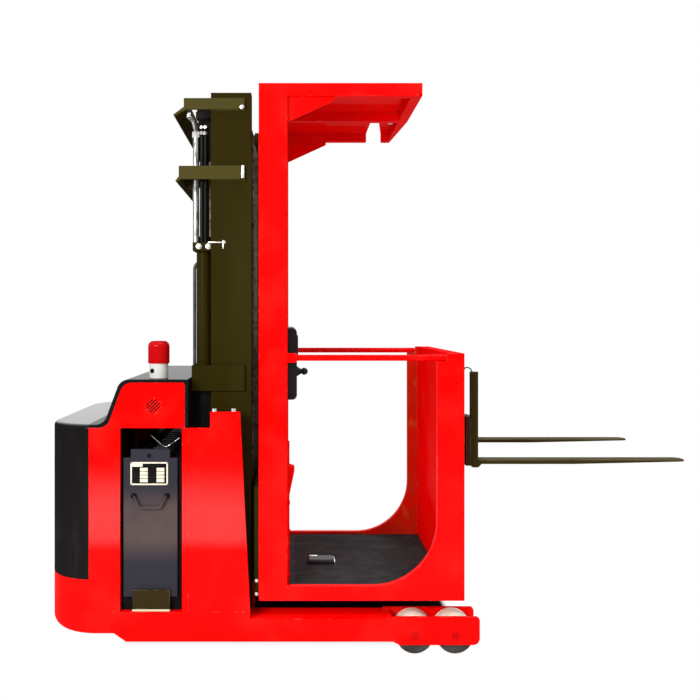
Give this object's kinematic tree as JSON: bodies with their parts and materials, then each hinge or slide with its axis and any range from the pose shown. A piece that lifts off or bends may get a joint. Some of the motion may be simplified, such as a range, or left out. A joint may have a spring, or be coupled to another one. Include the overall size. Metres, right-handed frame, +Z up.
{
  "type": "order picker truck",
  "caption": "Stand-on electric order picker: power unit with side battery, two-stage mast, operator platform with overhead guard, straddle legs and forks on a short lift.",
  "frame": {"origin": "on the ground, at the middle of the truck's length and width", "axes": "+X towards the fork tips, +Y to the left, +Z up"},
  "size_m": [2.547, 1, 2.215],
  "materials": {
    "red_paint": "glossy red paint",
    "mast_paint": "satin dark olive-brown paint",
    "fork_paint": "worn dark paint on forged steel",
    "black_cover": "fine-grained moulded black plastic",
    "battery_paint": "satin grey paint",
    "battery_case": "dark acid-proof coating",
    "latch_paint": "dull olive paint",
    "steel": "turned and ground steel",
    "chain_steel": "oiled chain steel",
    "chrome": "hard chrome plating",
    "cast": "dark cast iron",
    "polyurethane": "cream polyurethane tread",
    "drive_tread": "dark polyurethane tread",
    "beacon_grey": "pale moulded plastic",
    "beacon_red": "clear red lens",
    "mat_rubber": "ribbed dark rubber"
  },
  "bodies": {
    "chassis": {"base_frame": "red_paint", "hood_top": "black_cover", "rear_cover": "black_cover", "side_panels": "red_paint", "tower_panels": "red_paint", "battery": "battery_case", "battery_panels": "battery_paint", "battery_latches": "latch_paint", "beacon_base": "beacon_grey", "beacon_lens": "beacon_red", "horn_grille": "red_paint", "legs": "red_paint", "outer_channels": "mast_paint", "mast_ties": "mast_paint", "lift_cylinders": "mast_paint", "cylinder_clamps": "mast_paint"},
    "drive_unit": {"steering_yoke": "cast", "drive_motor": "cast"},
    "drive_wheel": {"drive_wheel": "drive_tread"},
    "load_wheel_rear_left": {"load_wheel_rear_left": "polyurethane"},
    "load_wheel_rear_right": {"load_wheel_rear_right": "polyurethane"},
    "load_wheel_front_left": {"load_wheel_front_left": "polyurethane"},
    "load_wheel_front_right": {"load_wheel_front_right": "polyurethane"},
    "inner_mast": {"inner_channels": "mast_paint", "inner_cross_plates": "mast_paint", "piston_rods": "chrome", "chain_pulleys": "steel", "lift_chains": "chain_steel"},
    "platform": {"platform_carriage": "mast_paint", "columns": "red_paint", "platform_sides": "red_paint", "platform_floor": "red_paint", "floor_mat": "mat_rubber", "front_wall": "red_paint", "back_panel": "red_paint", "console_beam": "red_paint", "console": "black_cover", "control_lever": "black_cover", "foot_pedal": "mat_rubber", "guard_frame": "red_paint", "guard_roof": "red_paint", "fork_rails": "mast_paint", "fork_ram": "mast_paint"},
    "gate_left": {"gate_left": "red_paint"},
    "gate_right": {"gate_right": "red_paint"},
    "fork_ram_rod": {"fork_ram_rod": "chrome"},
    "fork_carriage": {"fork_carriage": "fork_paint", "forks": "fork_paint"}
  },
  "joints": [
    {"name": "steering", "type": "hinge", "parent": "chassis", "child": "drive_unit", "pos_m": [-1.1085, 0, 0.125], "axis": [0, 0, 1], "range_deg": [-90, 90]},
    {"name": "drive_spin", "type": "hinge", "parent": "drive_unit", "child": "drive_wheel", "pos_m": [-1.1085, 0, 0.125], "axis": [0, 1, 0], "continuous": true},
    {"name": "load_wheel_rear_left_spin", "type": "hinge", "parent": "chassis", "child": "load_wheel_rear_left", "pos_m": [0.1605, 0.435, 0.075], "axis": [0, 1, 0], "continuous": true},
    {"name": "load_wheel_rear_right_spin", "type": "hinge", "parent": "chassis", "child": "load_wheel_rear_right", "pos_m": [0.1605, -0.435, 0.075], "axis": [0, 1, 0], "continuous": true},
    {"name": "load_wheel_front_left_spin", "type": "hinge", "parent": "chassis", "child": "load_wheel_front_left", "pos_m": [0.3165, 0.435, 0.075], "axis": [0, 1, 0], "continuous": true},
    {"name": "load_wheel_front_right_spin", "type": "hinge", "parent": "chassis", "child": "load_wheel_front_right", "pos_m": [0.3165, -0.435, 0.075], "axis": [0, 1, 0], "continuous": true},
    {"name": "mast_lift", "type": "slide", "parent": "chassis", "child": "inner_mast", "axis": [0, 0, 1], "range_m": [0, 1.5]},
    {"name": "platform_lift", "type": "slide", "parent": "inner_mast", "child": "platform", "axis": [0, 0, 1], "range_m": [0, 1.5]},
    {"name": "gate_left_swing", "type": "hinge", "parent": "platform", "child": "gate_left", "pos_m": [-0.3135, 0.427, 1.142], "axis": [0, -1, 0], "range_deg": [0, 90]},
    {"name": "gate_right_swing", "type": "hinge", "parent": "platform", "child": "gate_right", "pos_m": [-0.3135, -0.427, 1.142], "axis": [0, -1, 0], "range_deg": [0, 90]},
    {"name": "fork_lift", "type": "slide", "parent": "platform", "child": "fork_carriage", "axis": [0, 0, 1], "range_m": [-0.6, 0.15]},
    {"name": "fork_ram_stroke", "type": "slide", "parent": "platform", "child": "fork_ram_rod", "axis": [0, 0, 1], "range_m": [-0.3, 0.075]}
  ],
  "couplings": [
    {"joint": "platform_lift", "follows": "mast_lift", "ratio": 1},
    {"joint": "fork_ram_stroke", "follows": "fork_lift", "ratio": 0.5}
  ]
}
